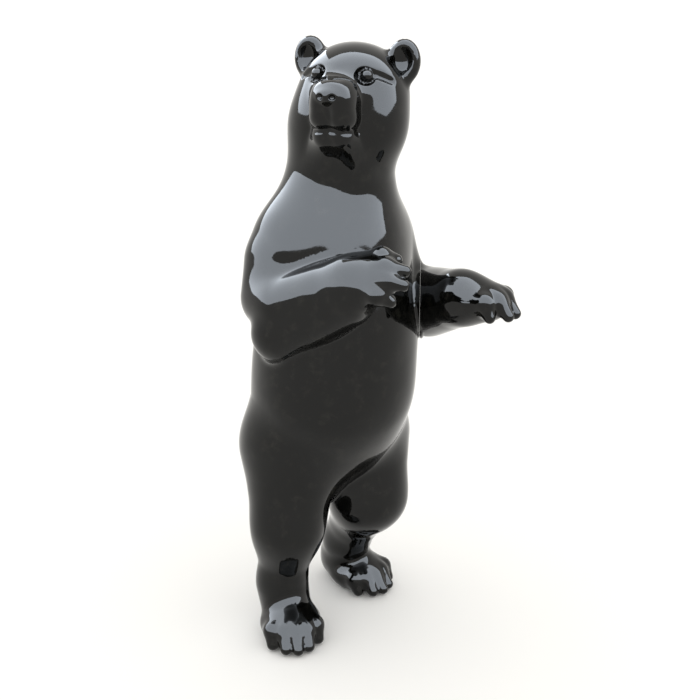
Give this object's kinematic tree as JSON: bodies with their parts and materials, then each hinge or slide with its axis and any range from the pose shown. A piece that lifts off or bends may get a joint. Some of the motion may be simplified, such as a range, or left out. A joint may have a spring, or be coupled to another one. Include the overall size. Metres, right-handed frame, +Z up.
{
  "type": "bear statue",
  "caption": "Life-size glossy black bear statue standing upright on its hind legs, forelegs held forward, head turned to its right.",
  "frame": {"origin": "on the ground, under the middle of the bounding box seen from above", "axes": "+Z up; the hind feet point along -Y; the bear's own left side is +X"},
  "size_m": [0.7029, 0.7134, 1.8029],
  "materials": {
    "black_coat": "high-gloss black gel coat with a clear top coat, slightly wavy from hand polishing",
    "forearm_coat": "the same high-gloss black coat on the separately moulded left forearm"
  },
  "bodies": {
    "root": {"bear_body": "black_coat", "left_forearm": "forearm_coat"}
  },
  "joints": []
}
